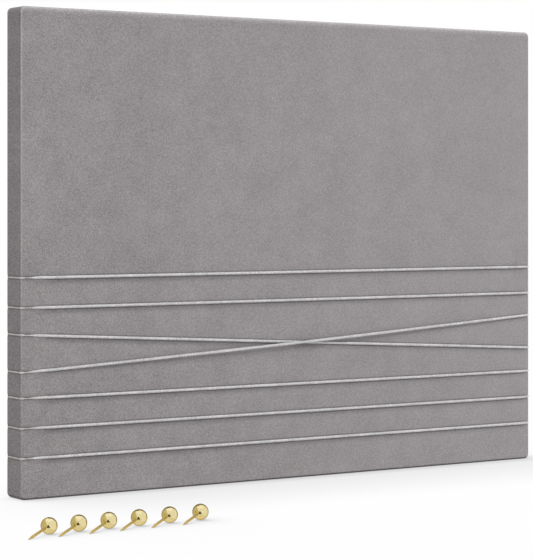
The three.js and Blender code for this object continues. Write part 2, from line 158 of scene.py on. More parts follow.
# Panels that polished metal mirrors: hours of a clock, as the camera sees it, round a dark three-sided gap
# beside the camera. The overhead panel and the shade behind lie between two cosines.
LOW_PANEL_HOURS = (4.35, 8)
LEFT_PANEL_HOURS = (8, 10.75)
GAP_SIDE_HOURS = (10, 2, 6)
GAP_PLACE = (-0.08, -0.13, 0.98)
GAP_REACH = 0.285
GAP_BLUR = 0.05
BORDER_BLUR = 0.04
OVERHEAD = (0.75, 0.97)
BEHIND = (0.6, 0.95)

# Directions from which the floor's wide shadow and its close shadow take their light
WIDE_SHADOW_SKY = (-0.4, 0.45, 0.8)
CLOSE_SHADOW_SKY = (-0.33, 0.22, 0.9)

# How far the floor reaches each way in metres, and how wide the camera's sensor is in millimetres
FLOOR_REACH = 30
SENSOR_WIDTH = 36


def linear(red, green, blue):
    """A colour given in screen values from 0 to 255, as the linear colour that shaders take."""
    screen = [value / 255 for value in (red, green, blue)]
    light = [v / 12.92 if v <= 0.04045 else ((v + 0.055) / 1.055) ** 2.4 for v in screen]
    return (*light, 1.0)


def length_setting(label, text, default):
    return FloatProperty(name=label, description=text, default=default, unit="LENGTH", precision=5)


def level_setting(label, text, default):
    return FloatProperty(name=label, description=text, default=default, min=0.0)


def colour_setting(label, text, default):
    return FloatVectorProperty(
        name=label, description=text, default=default, size=4, subtype="COLOR", min=0.0, max=1.0)


class CoverSettings(bpy.types.PropertyGroup):
    """Velvet cover and the layers under it"""

    corner: length_setting("Corner", "Radius of the four corners seen from the front", 3.2 * MM)
    edge: length_setting("Edge", "Radius of the soft front and rear edges", 1.6 * MM)
    cloth: length_setting("Cloth", "Thickness of the velvet", 0.7 * MM)
    hem: length_setting("Hem", "Width of the hem on the back", 33 * MM)
    fold: length_setting("Fold", "Depth of the folds at the hem's corners", 0.4 * MM)
    fold_width: length_setting("Fold Width", "Half the width of those folds", 0.8 * MM)
    furrow: length_setting("Furrow", "How much deeper than a cord its furrow in the pile is", 0.05 * MM)
    furrow_width: length_setting("Furrow Width", "Half the width of that furrow", 1.1 * MM)
    notch: length_setting("Notch", "Reach of the notches where cords bite into the edges", 1.5 * MM)
    foam_corner: length_setting("Foam Corner", "Radius of the foam sheet's corners", 1.8 * MM)
    foam_edge: length_setting("Foam Edge", "Radius of the foam sheet's edges", 0.6 * MM)
    velvet: colour_setting("Velvet", "Colour of the pile", linear(174, 170, 171))
    velvet_dark: colour_setting(
        "Velvet Shade", "Colour of the pile brushed the other way", linear(120, 116, 117))
    # Colour of the painted highlight along the rims
    painted_rim_light: colour_setting("Rubbed Velvet", "Colour of the pile along the rims", linear(198, 194, 195))
    # Colour of the painted shade along the cords, on the lower and rear rims and in the hem's folds
    pressed: colour_setting("Pressed Velvet", "Colour of the pile under the cords", linear(72, 68, 69))
    foam: colour_setting("Foam", "Colour of the foam sheet", linear(233, 226, 206))
    # Colour of the painted shade in the foam's pores
    foam_pore_shade: colour_setting("Foam Pores", "Colour in the pores of the foam", linear(178, 166, 140))


class CordSettings(bpy.types.PropertyGroup):
    """Elastic cords"""

    radius: length_setting("Radius", "Radius of a cord", 0.9 * MM)
    sink: length_setting("Sink", "How deep a cord lies in the pile", 0.45 * MM)
    left_sink: length_setting("Left Sink", "How deep a cord is drawn into the left side", 1.75 * MM)
    right_sink: length_setting("Right Sink", "How deep a cord is drawn into the right side", 1.35 * MM)
    left_tuck: length_setting("Left Tuck", "How far a cord stays tucked in beside the left edge", 4 * MM)
    left_draw_in: length_setting("Left Draw-in", "Length over which it then comes up on the left", 18 * MM)
    right_draw_in: length_setting("Right Draw-in", "Length over which it goes down on the right", 5 * MM)
    rear_draw_in: length_setting("Rear Draw-in", "Length over which it comes up on the back", 9 * MM)
    tail: length_setting("Tail", "How far a cord runs in from the side on the back", 21 * MM)
    bow: length_setting("Bow", "How far the middle of the upper crossing cord hangs down", 0.65 * MM)
    crest: length_setting("Crest", "Length of the bend where one cord passes over another", 8 * MM)
    braid: length_setting("Braid", "Length of one turn of the braid's pattern", 2.0 * MM)
    strands: IntProperty(name="Strands", description="Strands of the braid each way", default=4, min=2)
    silver: colour_setting("Silver", "Colour of the silver thread", linear(230, 229, 229))
    gap: colour_setting("Gap", "Colour between the threads", linear(161, 160, 161))


class FittingSettings(bpy.types.PropertyGroup):
    """Boards and fittings on the back"""

    staple_edge: length_setting("Staple Edge", "Rounding of a staple's wire", 0.12 * MM)
    strap: length_setting("Strap", "Thickness of a hanger's strap", 1.0 * MM)
    strap_edge: length_setting("Strap Edge", "Rounding of a strap's edges", 0.18 * MM)
    ring_wire: length_setting("Ring Wire", "Radius of a ring's wire", 1.0 * MM)
    ring_corner: length_setting("Ring Corner", "Radius of a ring's two upper corners", 2.2 * MM)
    butt_gap: length_setting("Butt Gap", "Gap between the ends of a ring's wire", 0.5 * MM)
    bumper_fillet: length_setting("Bumper Fillet", "Rounding of a wall bumper's rim", 1.2 * MM)
    bumper_foot: length_setting("Bumper Foot", "Chamfer of a wall bumper's foot", 0.4 * MM)
    fibreboard: colour_setting("Fibreboard", "Colour of the core", linear(176, 148, 108))
    fibreboard_dark: colour_setting("Dark Fibreboard", "Colour of its flecks", linear(132, 104, 70))
    hardboard: colour_setting("Hardboard", "Colour of the backing", linear(98, 74, 54))
    hardboard_dark: colour_setting("Dark Hardboard", "Colour of its flecks", linear(70, 50, 36))
    steel: colour_setting("Steel", "Colour of the plated steel", linear(192, 196, 205))
    steel_dull: colour_setting("Dull Steel", "Colour of the steel where it is dull", linear(160, 164, 173))
    rubber: colour_setting("Rubber", "Colour of the wall bumpers", linear(40, 40, 41))
    rubber_bloom: colour_setting("Rubber Bloom", "Colour of their dusty bloom", linear(58, 57, 56))


class PinSettings(bpy.types.PropertyGroup):
    """Loose pins"""

    needle: length_setting("Needle", "Radius of a needle", 0.75 * MM)
    point: length_setting("Point", "Length of a needle's ground point", 4 * MM)
    tip: length_setting("Tip", "Radius of the very tip", 0.12 * MM)
    gold: colour_setting("Gold", "Colour of the gold plating", linear(231, 219, 171))
    gold_dull: colour_setting("Dull Gold", "Colour of the gold where it is touched", linear(224, 207, 150))
    gold_rim: colour_setting("Gold Rim", "Tint of the balls' rims", (0.62, 0.47, 0.12, 1.0))
    wire: colour_setting("Wire", "Colour of the plating on the drawn wire", linear(207, 181, 101))
    wire_dull: colour_setting("Dull Wire", "Colour of the wire where it is touched", linear(196, 168, 90))


class StudioSettings(bpy.types.PropertyGroup):
    """Floor, light and camera"""

    camera_place: FloatVectorProperty(
        name="Camera", description="Where the camera stands", subtype="XYZ", unit="LENGTH",
        default=(-816.5 * MM, COVER_LOW.y - 1205.8 * MM, 183.6 * MM))
    camera_heading: FloatProperty(
        name="Heading", description="Direction of view, from straight back to the right", unit="ROTATION",
        default=math.radians(33.392))
    lens: FloatProperty(
        name="Lens", description="Focal length of the camera, in millimetres", default=143.13)
    fall: FloatProperty(name="Fall", description="Vertical shift of the camera's frame", default=-0.1463)
    dome: level_setting("Dome", "Level of the light from all round", 0.143)
    front_light: level_setting("Front Light", "Level of the light from the front", 0.78)
    top_light: level_setting("Top Light", "Level of the light from above", 0.24)
    panel_light: level_setting("Panel Light", "Level of the panels in polished metal", 1.3)
    overhead_panel: colour_setting("Overhead Panel", "What metal mirrors overhead", (0.92, 0.94, 1.0, 1.0))
    top_panel: colour_setting(
        "Top Panel", "What it mirrors above and on the right", (0.77, 0.77, 0.77, 1.0))
    left_panel: colour_setting("Left Panel", "What it mirrors on the left", (0.53, 0.48, 0.31, 1.0))
    low_panel: colour_setting("Low Panel", "What it mirrors below", (0.7, 0.66, 0.55, 1.0))
    backdrop_shade: colour_setting("Backdrop Shade", "What it mirrors behind it", (0.38, 0.34, 0.22, 1.0))
    lens_gap: colour_setting("Lens Gap", "What it mirrors between the panels", (0.07, 0.05, 0.012, 1.0))
    floor: colour_setting("Floor", "Colour of the floor as the camera sees it", linear(254, 254, 254))
    paint: colour_setting("Paint", "Colour of the floor's paint", linear(247, 247, 247))
    paint_light: colour_setting("Light Paint", "Colour of the paint's light clouds", linear(249, 249, 249))
    shadow: level_setting("Shadow", "Depth of the soft shadow on the floor", 0.27)
    shadow_reach: length_setting("Shadow Reach", "How far the soft shadow reaches", 110 * MM)
    contact: level_setting("Contact", "Depth of the shadow close to things", 0.28)
    contact_reach: length_setting("Contact Reach", "How far the close shadow reaches", 16 * MM)


SETTINGS = {
    "board_cover": CoverSettings,
    "board_cords": CordSettings,
    "board_fittings": FittingSettings,
    "board_pins": PinSettings,
    "board_studio": StudioSettings,
}


# Shader helpers

def feed(tree, socket, value):
    """Links a socket to another one, or sets its value."""
    if isinstance(value, bpy.types.NodeSocket):
        tree.links.new(value, socket)
    else:
        socket.default_value = value


def add_node(tree, kind, inputs=None, **options):
    """Adds a shader node with its options and its inputs by name."""
    node = tree.nodes.new(kind)
    for name, value in options.items():
        setattr(node, name, value)
    for name, value in (inputs or {}).items():
        feed(tree, node.inputs[name], value)
    return node


def mixed_colour(tree, share, first, second):
    """The output of a colour mix, from first at share 0 to second at share 1."""
    node = add_node(tree, "ShaderNodeMix", {"Factor": share}, data_type="RGBA")
    colours = [socket for socket in node.inputs if socket.type == "RGBA"]
    feed(tree, colours[0], first)
    feed(tree, colours[1], second)
    return next(socket for socket in node.outputs if socket.type == "RGBA")


def mixed_shader(tree, share, first, second):
    """The output of a shader mix, from first at share 0 to second at share 1."""
    node = add_node(tree, "ShaderNodeMixShader", {"Fac": share})
    feed(tree, node.inputs[1], first)
    feed(tree, node.inputs[2], second)
    return node.outputs["Shader"]


def calculated(tree, operation, *values):
    """The output of a math node."""
    node = add_node(tree, "ShaderNodeMath", operation=operation)
    for socket, value in zip(node.inputs, values):
        feed(tree, socket, value)
    return node.outputs["Value"]


def weighted(tree, masks, start=0.0):
    """The sum of masks by their weights, added to a starting value."""
    total = start
    for mask, weight in masks:
        total = calculated(tree, "MULTIPLY_ADD", mask, weight, total)
    return total


def spread(tree, value, low=0.0, high=1.0, to_low=0.0, to_high=1.0, kind="LINEAR"):
    """A value from one range, spread over another one and kept inside it."""
    node = add_node(tree, "ShaderNodeMapRange", {
        "Value": value, "From Min": low, "From Max": high, "To Min": to_low, "To Max": to_high,
    }, interpolation_type=kind)
    return node.outputs["Result"]


def vector(tree, x=0.0, y=0.0, z=0.0):
    """A vector made of three values."""
    return add_node(tree, "ShaderNodeCombineXYZ", {"X": x, "Y": y, "Z": z}).outputs["Vector"]


def parts_of(tree, place):
    """The X, Y and Z outputs of a vector."""
    return add_node(tree, "ShaderNodeSeparateXYZ", {"Vector": place}).outputs


def place_on_piece(tree):
    """The place of a point in the object's own frame."""
    return add_node(tree, "ShaderNodeTexCoord").outputs["Object"]


def attribute(tree, name):
    """A value stored on the points of the mesh."""
    return add_node(tree, "ShaderNodeAttribute", attribute_name=name).outputs["Fac"]


def new_material(name, **constants):
    """A material with a Principled shader, whose constant inputs are given by name with underscores."""
    material = bpy.data.materials.new(name)
    material.use_nodes = True
    tree = material.node_tree
    tree.nodes.clear()
    inputs = {key.replace("_", " "): value for key, value in constants.items()}
    shader = add_node(tree, "ShaderNodeBsdfPrincipled", inputs)
    add_node(tree, "ShaderNodeOutputMaterial", {"Surface": shader.outputs["BSDF"]})
    return material, tree, shader


def new_group(name, inputs, outputs):
    """A shader group with named inputs and outputs: the tree, what it is given and what it puts out."""
    group = bpy.data.node_groups.new(name, "ShaderNodeTree")
    for way, sockets in (("INPUT", inputs), ("OUTPUT", outputs)):
        for label, kind in sockets.items():
            group.interface.new_socket(name=label, in_out=way, socket_type=kind)
    return group, group.nodes.new("NodeGroupInput").outputs, group.nodes.new("NodeGroupOutput").inputs


def uneven_group():
    """Uneven shade: noise of a given grain in metres, spread between two levels to give a mask.
    Stretch draws the grain out to strokes, which Turn tilts about the Y axis."""
    if "uneven_shade" in bpy.data.node_groups:
        return bpy.data.node_groups["uneven_shade"]
    inputs = ("Grain", "Detail", "Low", "High", "Stretch", "Turn")
    group, given, result = new_group("uneven_shade", dict.fromkeys(inputs, VALUE), {"Mask": VALUE})
    strokes = add_node(group, "ShaderNodeMapping", {
        "Vector": place_on_piece(group),
        "Rotation": vector(group, y=given["Turn"]),
        "Scale": vector(group, 1.0, GRAIN_DEPTH, given["Stretch"]),
    }, vector_type="TEXTURE")
    noise = add_node(group, "ShaderNodeTexNoise", {
        "Vector": strokes.outputs["Vector"],
        "Scale": calculated(group, "DIVIDE", 1.0, given["Grain"]),
        "Detail": given["Detail"],
    })
    feed(group, result["Mask"], spread(group, noise.outputs["Fac"], given["Low"], given["High"]))
    return group


def uneven(tree, grain, detail=2.0, low=0.3, high=0.7, stretch=1.0, turn=0.0):
    """The mask of an uneven shade in a material."""
    node = add_node(tree, "ShaderNodeGroup", {
        "Grain": grain, "Detail": detail, "Low": low, "High": high, "Stretch": stretch, "Turn": turn,
    }, node_tree=uneven_group())
    return node.outputs["Mask"]


def plating_group():
    """Plated metal: clean and dull colour and roughness in soft patches."""
    if "plated_metal" in bpy.data.node_groups:
        return bpy.data.node_groups["plated_metal"]
    inputs = {"Clean": COLOUR, "Dull": COLOUR, "Smooth": VALUE, "Rough": VALUE, "Grain": VALUE}
    group, given, result = new_group("plated_metal", inputs, {"Color": COLOUR, "Roughness": VALUE})
    patch = uneven(group, given["Grain"], detail=4.0, low=0.35, high=0.7)
    feed(group, result["Color"], mixed_colour(group, patch, given["Clean"], given["Dull"]))
    rough = spread(group, patch, to_low=given["Smooth"], to_high=given["Rough"])
    feed(group, result["Roughness"], rough)
    return group


def plated(name, clean, dull, smooth, rough, grain, metallic=1.0, rim=WHITE):
    """A metal material with plating that is clean in some places and dull in others.
    Rim is its tint where it is seen at a low angle."""
    material, tree, shader = new_material(name, Metallic=metallic, Specular_Tint=rim)
    plating = add_node(tree, "ShaderNodeGroup", {
        "Clean": clean, "Dull": dull, "Smooth": smooth, "Rough": rough, "Grain": grain,
    }, node_tree=plating_group())
    feed(tree, shader.inputs["Base Color"], plating.outputs["Color"])
    feed(tree, shader.inputs["Roughness"], plating.outputs["Roughness"])
    return material


def bumped(tree, shader, height, depth, strength=1.0):
    """Feeds a height of the given depth in metres to the shader's normal."""
    bump = add_node(tree, "ShaderNodeBump", {"Strength": strength, "Distance": depth, "Height": height})
    feed(tree, shader.inputs["Normal"], bump.outputs["Normal"])


# Mesh helpers

def limited(share):
    """A share kept between 0 and 1."""
    return min(max(share, 0.0), 1.0)


def hump(value, centre, width):
    """A smooth hump of height 1 round a centre."""
    return math.exp(-((value - centre) / width) ** 2)


def linked(name, data):
    """A new object in the scene."""
    item = bpy.data.objects.new(name, data)
    bpy.context.scene.collection.objects.link(item)
    return item


def mesh_object(bm, name, material):
    """Turns a bmesh into a smooth object with one material."""
    for face in bm.faces:
        face.smooth = True
    mesh = bpy.data.meshes.new(name)
    bm.to_mesh(mesh)
    bm.free()
    mesh.materials.append(material)
    return linked(name, mesh)


def finish_piece(bm, name, material, body, node):
    """Turns a bmesh into a piece of the object that rides on a body and stands for a CAD node."""
    piece = mesh_object(bm, name, material)
    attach(piece, body)
    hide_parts(node)
    return piece


def dress_node(name, material):
    """Gives a CAD node its finished material."""
    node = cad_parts[name]
    node.data.materials.clear()
    node.data.materials.append(material)
    return node


def thicken(piece, name, thickness, offset):
    """Gives a sheet its thickness, inwards at an offset of -1 and to both sides at 0."""
    wall = piece.modifiers.new(name, "SOLIDIFY")
    wall.thickness = thickness
    wall.offset = offset


def round_edges(piece, width):
    """Rounds the sharp edges of a piece of metal."""
    rounding = piece.modifiers.new("rounding", "BEVEL")
    rounding.width = width
    rounding.segments = 2
    rounding.limit_method = "ANGLE"
    rounding.angle_limit = math.radians(50)


def bevel_edges(bm, edges, offset, segments):
    """Rounds edges of a bmesh."""
    bmesh.ops.bevel(bm, geom=edges, offset=offset, offset_type="OFFSET", segments=segments, profile=0.5,
                    affect="EDGES", material=-1)


def block(low, high, corner, edge, corner_steps, edge_steps):
    """A bmesh block between two corners, with round corners and soft front and rear edges."""
    bm = bmesh.new()
    size = Matrix.Diagonal((*(high - low), 1.0))
    bmesh.ops.create_cube(bm, size=1.0, matrix=Matrix.Translation((low + high) / 2) @ size)

    def runs_back(side):
        return abs(side.verts[0].co.y - side.verts[1].co.y) > (high.y - low.y) / 2

    bevel_edges(bm, [e for e in bm.edges if runs_back(e)], corner, corner_steps)
    bevel_edges(bm, [e for e in bm.edges if not runs_back(e)], edge, edge_steps)
    return bm


def slice_faces(bm, faces, point, normal):
    """Cuts faces along a plane."""
    edges = {edge for face in faces for edge in face.edges}
    verts = {vert for face in faces for vert in face.verts}
    bmesh.ops.bisect_plane(bm, geom=[*faces, *edges, *verts], dist=WELD_DISTANCE,
                           plane_co=point, plane_no=normal)


def turned(profile, centre, axis, steps=32):
    """A bmesh turned from a profile of (radius, height) points about an axis through a centre."""
    bm = bmesh.new()
    points = [bm.verts.new((radius, 0, height)) for radius, height in profile]
    edges = [bm.edges.new(pair) for pair in zip(points, points[1:])]
    bmesh.ops.spin(bm, geom=[*points, *edges], cent=(0, 0, 0), axis=UP, angle=FULL_TURN, steps=steps,
                   use_merge=True)
    bmesh.ops.remove_doubles(bm, verts=bm.verts, dist=WELD_DISTANCE)
    bmesh.ops.recalc_face_normals(bm, faces=bm.faces)
    turn = UP.rotation_difference(axis).to_matrix().to_4x4()
    bmesh.ops.transform(bm, matrix=Matrix.Translation(centre) @ turn, verts=bm.verts)
    return bm


def arc_profile(centre, radius, start, end, steps):
    """Points of an arc in a plane, from one angle to another."""
    angles = [start + (end - start) * i / steps for i in range(steps + 1)]
    return [(centre[0] + radius * math.cos(a), centre[1] + radius * math.sin(a)) for a in angles]


class Route:
    """A line through points, walked by its length."""

    def __init__(self, points):
        self.points = points
        self.marks = [0.0]
        for first, second in zip(points, points[1:]):
            self.marks.append(self.marks[-1] + (second - first).length)
        self.length = self.marks[-1]
        self.span = 0

    def at(self, distance):
        """The point and the direction at a distance from the start. It is quickest in rising order."""
        if distance < self.marks[self.span]:
            self.span = 0
        while self.span < len(self.points) - 2 and distance > self.marks[self.span + 1]:
            self.span += 1
        first, second = self.points[self.span], self.points[self.span + 1]
        share = (distance - self.marks[self.span]) / (self.marks[self.span + 1] - self.marks[self.span])
        return first.lerp(second, share), (second - first).normalized()


def rolled_tube(route, radius, sides, step, level, relief=None):
    """A bmesh tube along a route, rolled up from a grid. Level is a direction that the route never takes.
    Relief gives how far the surface stands out at a distance along the route and an angle round it."""
    rows = max(1, round(route.length / step))
    bm = bmesh.new()
    bm.loops.layers.uv.new("UVMap")
    bmesh.ops.create_grid(bm, x_segments=rows, y_segments=sides, size=0.5, calc_uvs=True)
    for vert in sorted(bm.verts, key=lambda v: v.co.x):
        distance = (vert.co.x + 0.5) * route.length
        angle = (vert.co.y + 0.5) * FULL_TURN
        point, along = route.at(distance)
        outward = level.cross(along).normalized()
        beside = along.cross(outward)
        reach = radius + (relief(distance, angle) if relief else 0.0)
        vert.co = point + reach * (math.cos(angle) * outward + math.sin(angle) * beside)
    bmesh.ops.remove_doubles(bm, verts=bm.verts, dist=WELD_DISTANCE)
    ends = [edge for edge in bm.edges if edge.is_boundary]
    bmesh.ops.holes_fill(bm, edges=ends, sides=0)
    bmesh.ops.recalc_face_normals(bm, faces=bm.faces)
    return bm


# Cords

class CordLine:
    """Where one cord runs on the board, from the frame."""

    def __init__(self, number, cords, cover):
        low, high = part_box(f"elastic_cord_{number}")
        straight_low, straight_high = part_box("elastic_cord_1")
        half = (straight_high.z - straight_low.z) / 2
        ends = (low.z + half, high.z - half)
        self.left, self.right = reversed(ends) if number == UNDER_CORD else ends
        self.lift = straight_low.y - low.y
        self.radius = cords.radius
        self.sink = cords.sink
        self.edge_sinks = (cords.left_sink, cords.right_sink)
        self.tucks = (cords.left_tuck, 0.0)
        self.draw_ins = (cords.left_draw_in, cords.right_draw_in)
        self.rear_draw_in = cords.rear_draw_in
        self.bends = [cover.edge + cords.radius - sink for sink in self.edge_sinks]
        self.bend_x = HALF_WIDTH - cover.edge
        self.bend_y = COVER_HIGH.y - cover.edge
        self.tail_x = HALF_WIDTH - cords.tail
        self.crest = cords.crest
        self.bow = cords.bow if number == OVER_CORD else 0.0

    @staticmethod
    def of_side(pair, x):
        """The one of a pair of left and right values that holds where x lies."""
        return pair[0] if x < 0 else pair[1]

    def ease(self, x, tuck, draw_in):
        """How far the cord has come up out of the pile: not at all at the sides, fully further in."""
        share = limited((self.bend_x - abs(x) - tuck) / draw_in)
        return share * share * (3 - 2 * share)

    def front_ease(self, x):
        return self.ease(x, self.of_side(self.tucks, x), self.of_side(self.draw_ins, x))

    def rear_ease(self, x):
        return self.ease(x, 0.0, self.rear_draw_in)

    def proud(self, x, ease):
        """How far the cord's centre stands out of the pile."""
        edge_sink = self.of_side(self.edge_sinks, x)
        return self.radius - edge_sink - (self.sink - edge_sink) * ease

    def height(self, x):
        """Height of the cord on the front at a place across the board."""
        share = limited((x + self.bend_x) / (2 * self.bend_x))
        hang = 4 * self.bow * share * (1 - share)
        return self.left + (self.right - self.left) * share - hang

    def crossing(self, other):
        """Where this cord, which comes from below, meets another one across the board, found by halving."""
        low, high = -self.bend_x, self.bend_x
        while high - low > WELD_DISTANCE:
            middle = (low + high) / 2
            if self.height(middle) < other.height(middle):
                low = middle
            else:
                high = middle
        return low

    def rise(self, x, crossing):
        """How far the cord is lifted off the front on its way over the crossing."""
        way = 1 if x < crossing else -1
        ramp = self.bend_x + way * crossing - self.crest / 2
        return self.lift * limited((self.bend_x + way * x) / ramp)


def cord_lines():
    """The lines of all the cords by their numbers, and where two of them cross."""
    scene = bpy.context.scene
    lines = {n: CordLine(n, scene.board_cords, scene.board_cover) for n in CORD_NUMBERS}
    return lines, lines[OVER_CORD].crossing(lines[UNDER_CORD])


def cord_route(line, crossing, bend_steps=10, ease_steps=8, span_steps=20):
    """A cord's centreline: its left tail, the left edge, the front, the right edge and its right tail."""
    def turn(x, y, start, height):
        bend = line.of_side(line.bends, x)
        points = arc_profile((x, y), bend, start, start + QUARTER_TURN, bend_steps)
        return [Vector((u, v, height)) for u, v in points]

    def rear(x, height):
        return Vector((x, COVER_HIGH.y + line.proud(x, line.rear_ease(x)), height))

    def front(x):
        proud = line.proud(x, line.front_ease(x)) + line.rise(x, crossing)
        return Vector((x, COVER_LOW.y - proud, line.height(x)))

    def steps(tuck, draw_in):
        return [line.bend_x - tuck - draw_in * i / ease_steps for i in range(ease_steps + 1)]

    rear_steps = steps(0.0, line.rear_draw_in)
    left_steps, right_steps = [steps(*pair) for pair in zip(line.tucks, line.draw_ins)]
    crest = [crossing - line.crest / 2, crossing, crossing + line.crest / 2]
    start, end = -left_steps[-1], right_steps[-1]
    span = [start + (end - start) * i / span_steps for i in range(1, span_steps)]
    points = [rear(-x, line.left) for x in (line.tail_x, *reversed(rear_steps))]
    points += turn(-line.bend_x, line.bend_y, QUARTER_TURN, line.left)
    points += turn(-line.bend_x, -line.bend_y, 2 * QUARTER_TURN, line.left)
    points += [front(-x) for x in left_steps]
    points += [front(x) for x in sorted([*crest, *span])]
    points += [front(x) for x in reversed(right_steps)]
    points += turn(line.bend_x, -line.bend_y, 3 * QUARTER_TURN, line.right)
    points += turn(line.bend_x, line.bend_y, 4 * QUARTER_TURN, line.right)
    points += [rear(x, line.right) for x in (*rear_steps, line.tail_x)]
    return Route([p for i, p in enumerate(points) if i == 0 or (p - points[i - 1]).length > WELD_DISTANCE])


def silver_material(cords):
    """Silver thread: bright crossing threads with darker gaps, glinting and uneven along the cord."""
    material, tree, shader = new_material("silver_thread", Metallic=0.12, Roughness=0.42)
    place = parts_of(tree, add_node(tree, "ShaderNodeUVMap", uv_map="UVMap").outputs["UV"])
    along = calculated(tree, "MULTIPLY", place["X"], FULL_TURN * CORD_LENGTH / cords.braid)
    around = calculated(tree, "MULTIPLY", place["Y"], FULL_TURN * cords.strands)
    one_way = calculated(tree, "SINE", calculated(tree, "ADD", along, around))
    other_way = calculated(tree, "SINE", calculated(tree, "SUBTRACT", along, around))
    crossed = calculated(tree, "MULTIPLY", one_way, other_way)
    weave = calculated(tree, "MULTIPLY_ADD", crossed, 0.5, 0.5)
    glints = uneven(tree, 1 * MM, detail=1.0)
    worn = uneven(tree, 9 * MM, detail=3.0, low=0.35, high=0.75)
    shade = weighted(tree, ((weave, 0.3), (glints, 0.45), (worn, 0.3)))
    feed(tree, shader.inputs["Base Color"], mixed_colour(tree, shade, cords.gap, cords.silver))
    bumped(tree, shader, weave, 0.05 * MM, strength=0.6)
    return material


class BOARD_OT_elastic_cords(bpy.types.Operator):
    """Lays the seven elastic cords round the board"""

    bl_idname = "board.elastic_cords"
    bl_label = "Elastic Cords"

    def execute(self, context):
        cords = context.scene.board_cords
        material = silver_material(cords)
        lines, crossing = cord_lines()
        swell = BRAID_SWELL * cords.radius
        sides = SIDES_PER_STRAND * cords.strands

        def braid(distance, angle):
            turn = FULL_TURN * distance / cords.braid
            twist = cords.strands * angle
            return swell * math.sin(turn + twist) * math.sin(turn - twist) - swell

        for number, line in lines.items():
            route = cord_route(line, crossing)
            bm = rolled_tube(route, cords.radius, sides, cords.braid / STEPS_PER_BRAID, UP, braid)
            finish_piece(bm, f"cord_{number}", material, "board", f"elastic_cord_{number}")
        return {"FINISHED"}


# Cover and layers

def furrow(point, lines, crossing, cover):
    """How deep the cords sink into the cover at a point on it, and how much painted shade lies there:
    painted shade beside a cord, more below than above, with a painted shadow a little below it,
    and darker towards the sides, where the cord sinks in."""
    darkest = (0.0, 0.0)
    on_rear = point.y > COVER_HIGH.y - WELD_DISTANCE
    from_edge = math.hypot(HALF_WIDTH - abs(point.x), COVER_HIGH.y - abs(point.y))
    notch = NOTCH_DEPTH * hump(from_edge, 0, cover.notch)
    cord_shadow_depth = CORD_SHADOW - CORD_SHADOW_FALL * point.x / HALF_WIDTH
    for line in lines.values():
        if on_rear:
            height = line.left if point.x < 0 else line.right
            ease = line.rear_ease(point.x)
            open_share = limited((abs(point.x) - line.tail_x) / TAIL_FADE + 0.5)
        else:
            height = line.height(point.x)
            ease = line.front_ease(point.x)
            open_share = max(0.0, 1 - line.rise(point.x, crossing) / line.sink)
        below = (height - point.z) / cover.furrow_width
        dent = hump(below, 0, 1) * open_share
        pressed = max(TUCKED_DEPTH + (1 - TUCKED_DEPTH) * ease, notch)
        depth = dent * (line.sink + cover.furrow) * pressed
        # Painted shadow a little below the cord, and painted shade beside it, more below than above
        cord_shadow = cord_shadow_depth * hump(below, CORD_SHADOW_PLACE, CORD_SHADOW_WIDTH) * open_share
        open_shade = (UPPER_SHADE if below < 0 else LOWER_SHADE) * dent + cord_shadow
        # Painted shade round the cord towards the sides, where it sinks in
        closed = CLOSED_SHADE * hump(below, 0, CLOSED_WIDTH) * open_share
        dark = closed + (open_shade - closed) * math.sqrt(ease)
        darkest = max(darkest, (depth, dark), key=lambda pair: pair[1])
    return darkest


def facing_front(vert):
    """How much a point of the cover faces the front."""
    return max(0.0, -vert.normal.y)


def lower_rim_shade(vert):
    """How much painted shade lies at a point where the cover faces down: on the lower rim, mostly in front.
    """
    low = limited((-vert.normal.z - DOWN_SHADE_START) / DOWN_SHADE_SPAN)
    return low * (REAR_DOWN_SHADE + (1 - REAR_DOWN_SHADE) * facing_front(vert))


def rim_turn(vert):
    """How far round the rims a point lies, in degrees: 90 on the front, 0 on the edges, -90 on the back."""
    return math.degrees(math.atan2(-vert.normal.y, math.hypot(vert.normal.x, vert.normal.z)))


def rim_highlight(vert):
    """How much painted highlight lies on the pile: on the front rim, most of all along the top, and low on
    the sides.
    """
    rise = (vert.co.z - COVER_LOW.z) / (2 * HALF_HEIGHT)
    facing_up = max(0.0, vert.normal.z)
    rim = hump(rim_turn(vert), *HIGHLIGHTED_RIM) * (RIM_HIGHLIGHT + RIM_HIGHLIGHT_UPWARDS * rise + TOP_RIM_HIGHLIGHT * facing_up)
    low_side = LOW_SIDE_HIGHLIGHT * abs(vert.normal.x) * max(0.0, 1 - rise / LOW_SIDE_SHARE)
    near_top = max(0.0, 1 - (COVER_HIGH.z - vert.co.z) / TOP_BAND)
    return max(rim, low_side, TOP_BAND_HIGHLIGHT * near_top * facing_front(vert))


def rim_side_shade(vert):
    """How much painted shade lies at a point on the sides: beside the front rim, and on the rear rim."""
    turn = rim_turn(vert)
    front = FRONT_RIM_SHADE * hump(turn, *FRONT_RIM_SHADE_PLACE)
    rear = REAR_RIM_SHADE * hump(turn, *REAR_RIM_SHADE_PLACE)
    return max(front, rear) * abs(vert.normal.x)


def hem_fold(point, cover):
    """How much a point lies in the fold of one of the hem's corners on the back."""
    from_side = HALF_WIDTH - abs(point.x)
    from_end = HALF_HEIGHT - abs(point.z - BOARD_MIDDLE.z)
    if point.y < COVER_HIGH.y - WELD_DISTANCE or max(from_side, from_end) > cover.hem:
        return 0.0
    return hump(from_side - from_end, 0, cover.fold_width)


